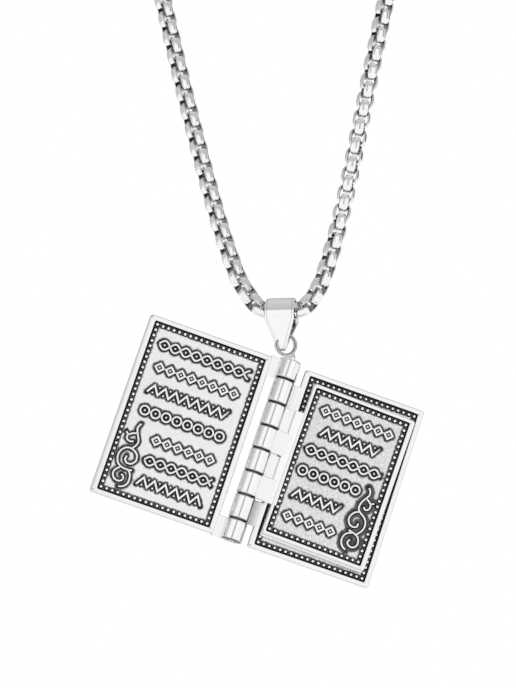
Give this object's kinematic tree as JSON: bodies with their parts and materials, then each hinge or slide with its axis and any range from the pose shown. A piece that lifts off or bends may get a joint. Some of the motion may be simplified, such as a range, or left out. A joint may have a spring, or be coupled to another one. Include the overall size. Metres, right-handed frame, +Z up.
{
  "type": "bible pendant necklace",
  "caption": "Open book locket pendant with hinged covers and pages, hanging from a tapered bail on a round box chain necklace.",
  "frame": {"origin": "top of the chain's loop, where it hangs behind the neck", "axes": "+Z up along the hanging necklace, +X across the loop, the open book faces -Y"},
  "size_m": [0.1033, 0.0092, 0.3141],
  "materials": {
    "chain_steel": "polished stainless steel links, bright with dark crevices",
    "polished_steel": "high polish stainless steel",
    "relief_steel": "polished rims and raised ornament, fine stippled fields, black oxidised hollows"
  },
  "bodies": {
    "necklace": {"chain": "chain_steel", "clasp": "polished_steel"},
    "bail": {"bail": "polished_steel"},
    "front_cover": {"front_cover": "relief_steel", "hinge_pin": "polished_steel"},
    "back_cover": {"back_cover": "relief_steel"},
    "page_2": {"page_2": "relief_steel"},
    "page_1": {"page_1": "relief_steel"}
  },
  "joints": [
    {"name": "bail_swing", "type": "hinge", "parent": "necklace", "child": "bail", "pos_m": [0, 0, -0.263], "axis": [1, 0, 0], "range_deg": [-40, 40]},
    {"name": "locket_swing", "type": "hinge", "parent": "bail", "child": "front_cover", "pos_m": [0.00075, 0, -0.2692], "axis": [-0.3314, 0.9412, 0.066], "range_deg": [-18, 18]},
    {"name": "back_cover_hinge", "type": "hinge", "parent": "front_cover", "child": "back_cover", "pos_m": [-0.00359, -0.00132, -0.28826], "axis": [0.3142, 0.0442, 0.9483], "range_deg": [-180, 20]},
    {"name": "page_2_hinge", "type": "hinge", "parent": "back_cover", "child": "page_2", "pos_m": [-0.00359, -0.00132, -0.28826], "axis": [-0.3142, -0.0442, -0.9483], "range_deg": [0, 180]},
    {"name": "page_1_hinge", "type": "hinge", "parent": "page_2", "child": "page_1", "pos_m": [-0.00359, -0.00132, -0.28826], "axis": [0.3142, 0.0442, 0.9483], "range_deg": [-180, 0]}
  ]
}
